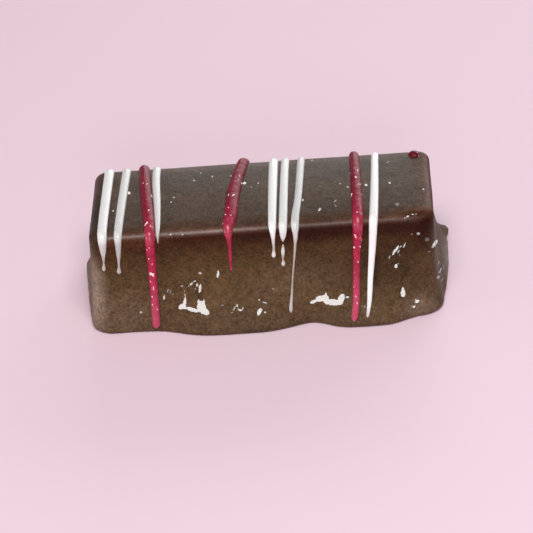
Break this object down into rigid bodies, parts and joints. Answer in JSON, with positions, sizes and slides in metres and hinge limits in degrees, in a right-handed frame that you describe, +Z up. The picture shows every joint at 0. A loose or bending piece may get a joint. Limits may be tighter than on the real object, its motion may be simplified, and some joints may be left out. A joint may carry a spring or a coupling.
{
  "type": "chocolate bonbon",
  "caption": "Finger-shaped enrobed chocolate bonbon with an uneven poured foot and fine white and raspberry lines drizzled across its top and sides.",
  "frame": {"origin": "under the middle of the bonbon's box, on the plane that it rests on", "axes": "+X along the finger, +Z up, the side with the longest drips faces -Y"},
  "size_m": [0.0462, 0.0214, 0.0149],
  "materials": {
    "chocolate": "satin milk chocolate, slightly greyed on top, wet-looking spots near the foot",
    "white_chocolate": "satin white chocolate",
    "raspberry": "glossy raspberry-coloured chocolate"
  },
  "bodies": {
    "root": {"chocolate_body": "chocolate", "white_line_1": "white_chocolate", "white_line_2": "white_chocolate", "white_line_3": "white_chocolate", "white_line_4": "white_chocolate", "white_line_5": "white_chocolate", "white_drip": "white_chocolate", "white_line_6": "white_chocolate", "white_line_7": "white_chocolate", "raspberry_line_1": "raspberry", "raspberry_line_2": "raspberry", "raspberry_line_3": "raspberry", "raspberry_dot": "raspberry"}
  },
  "joints": []
}
